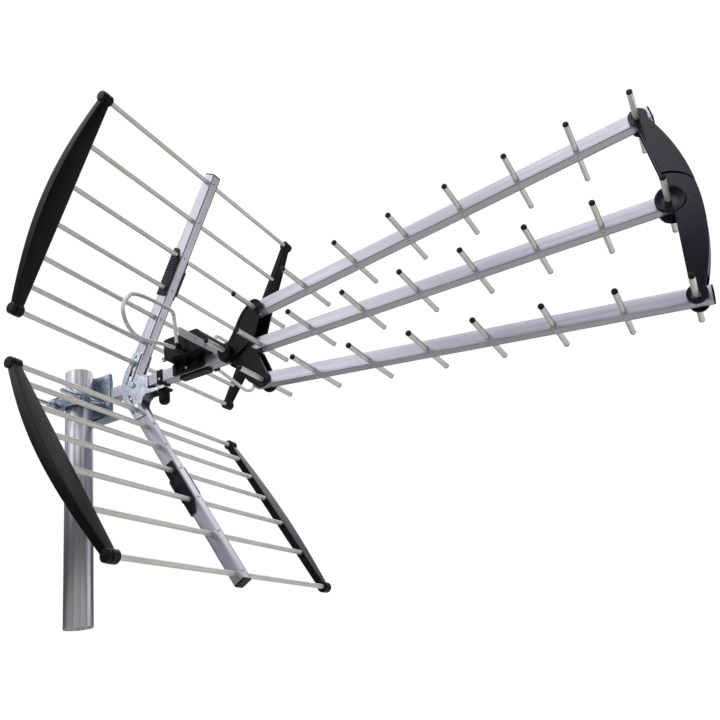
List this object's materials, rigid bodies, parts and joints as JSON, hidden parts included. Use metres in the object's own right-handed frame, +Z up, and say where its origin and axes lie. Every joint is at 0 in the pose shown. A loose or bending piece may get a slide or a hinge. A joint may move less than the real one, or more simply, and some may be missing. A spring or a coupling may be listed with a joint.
{
  "type": "yagi antenna",
  "caption": "Folding multi-boom UHF yagi antenna with stacked director booms, corner reflector, balun box and a mast clamp on a short mast.",
  "frame": {"origin": "on the mast's axis at the mast's foot", "axes": "+Z up along the mast, +Y forward along the main boom towards the nose"},
  "size_m": [0.591, 1.0658, 0.7469],
  "materials": {
    "rod": "satin drawn rod",
    "boom": "brushed square tube",
    "mast": "galvanised tube",
    "zinc": "bright zinc plating",
    "plastic": "black moulded, slightly glossy",
    "board": "circuit board laminate"
  },
  "bodies": {
    "mast": {"mast_stub": "mast"},
    "antenna": {"main_boom": "boom", "director_main_1": "rod", "director_main_2": "rod", "director_main_3": "rod", "director_main_4": "rod", "director_main_5": "rod", "director_main_6": "rod", "director_main_7": "rod", "director_main_8": "rod", "director_main_9": "rod", "reflector_bracket": "zinc", "boom_strap": "plastic", "balun_housing": "plastic", "balun_cover": "plastic", "balun_circuit_board": "board", "box_clamp_plate": "plastic", "coax_connector": "zinc", "dipole_right": "rod", "dipole_left": "rod", "launch_strip": "boom", "mast_bracket": "zinc", "clamp_bolt_front": "zinc", "clamp_bolt_rear": "zinc"},
    "jaw": {"clamp_jaw": "zinc"},
    "nut_front": {"wing_nut_front": "zinc"},
    "nut_rear": {"wing_nut_rear": "zinc"},
    "knob": {"tension_knob": "plastic"},
    "upper_reflector": {"upper_reflector_inner": "boom", "upper_reflector_outer": "boom", "upper_reflector_end_bar_right": "plastic", "upper_reflector_end_bar_left": "plastic", "upper_reflector_snap_clip": "plastic"},
    "lower_reflector": {"lower_reflector_inner": "boom", "lower_reflector_outer": "boom", "lower_reflector_end_bar_right": "plastic", "lower_reflector_end_bar_left": "plastic", "lower_reflector_snap_clip": "plastic"},
    "rear_arm_upper": {"rear_arm_upper": "plastic"},
    "top_boom": {"top_boom": "boom", "director_top_1": "rod", "director_top_2": "rod", "director_top_3": "rod", "director_top_4": "rod", "director_top_5": "rod", "director_top_6": "rod", "director_top_7": "rod", "director_top_8": "rod"},
    "front_arm_upper": {"front_arm_upper": "plastic"},
    "rear_arm_lower": {"rear_arm_lower": "plastic"},
    "bottom_boom": {"bottom_boom": "boom", "director_bottom_1": "rod", "director_bottom_2": "rod", "director_bottom_3": "rod", "director_bottom_4": "rod", "director_bottom_5": "rod", "director_bottom_6": "rod", "director_bottom_7": "rod", "director_bottom_8": "rod"},
    "front_arm_lower": {"front_arm_lower": "plastic"}
  },
  "joints": [
    {"name": "mast_azimuth", "type": "hinge", "parent": "mast", "child": "antenna", "pos_m": [0, 0, 0.381], "axis": [0, 0, 1], "continuous": true},
    {"name": "jaw_slide", "type": "slide", "parent": "antenna", "child": "jaw", "axis": [1, 0, 0], "range_m": [0, 0.02]},
    {"name": "wing_nut_front_spin", "type": "hinge", "parent": "jaw", "child": "nut_front", "pos_m": [0.036, 0.028, 0.366], "axis": [1, 0, 0], "continuous": true},
    {"name": "wing_nut_rear_spin", "type": "hinge", "parent": "jaw", "child": "nut_rear", "pos_m": [0.036, -0.028, 0.366], "axis": [1, 0, 0], "continuous": true},
    {"name": "knob_spin", "type": "hinge", "parent": "antenna", "child": "knob", "pos_m": [-0.039, 0.1485, 0.351], "axis": [0, 0, 1], "continuous": true},
    {"name": "upper_reflector_fold", "type": "hinge", "parent": "antenna", "child": "upper_reflector", "pos_m": [-0.039, 0.0974, 0.4238], "axis": [-1, 0, 0], "range_deg": [0, 30]},
    {"name": "lower_reflector_fold", "type": "hinge", "parent": "antenna", "child": "lower_reflector", "pos_m": [-0.039, 0.0974, 0.3382], "axis": [1, 0, 0], "range_deg": [0, 30]},
    {"name": "rear_arm_upper_fold", "type": "hinge", "parent": "antenna", "child": "rear_arm_upper", "pos_m": [-0.039, 0.289, 0.381], "axis": [1, 0, 0], "range_deg": [0, 30]},
    {"name": "top_boom_pivot", "type": "hinge", "parent": "rear_arm_upper", "child": "top_boom", "pos_m": [-0.039, 0.345, 0.4436], "axis": [1, 0, 0], "range_deg": [-33, 0]},
    {"name": "front_arm_upper_fold", "type": "hinge", "parent": "antenna", "child": "front_arm_upper", "pos_m": [-0.039, 0.97878, 0.381], "axis": [1, 0, 0], "range_deg": [0, 15]},
    {"name": "rear_arm_lower_fold", "type": "hinge", "parent": "antenna", "child": "rear_arm_lower", "pos_m": [-0.039, 0.289, 0.381], "axis": [-1, 0, 0], "range_deg": [0, 30]},
    {"name": "bottom_boom_pivot", "type": "hinge", "parent": "rear_arm_lower", "child": "bottom_boom", "pos_m": [-0.039, 0.345, 0.3184], "axis": [-1, 0, 0], "range_deg": [-33, 0]},
    {"name": "front_arm_lower_fold", "type": "hinge", "parent": "antenna", "child": "front_arm_lower", "pos_m": [-0.039, 0.97878, 0.381], "axis": [-1, 0, 0], "range_deg": [0, 15]}
  ],
  "couplings": [
    {"joint": "top_boom_pivot", "follows": "rear_arm_upper_fold", "ratio": -1.0797},
    {"joint": "front_arm_upper_fold", "follows": "rear_arm_upper_fold", "ratio": 0.4887},
    {"joint": "bottom_boom_pivot", "follows": "rear_arm_lower_fold", "ratio": -1.0797},
    {"joint": "front_arm_lower_fold", "follows": "rear_arm_lower_fold", "ratio": 0.4887}
  ]
}
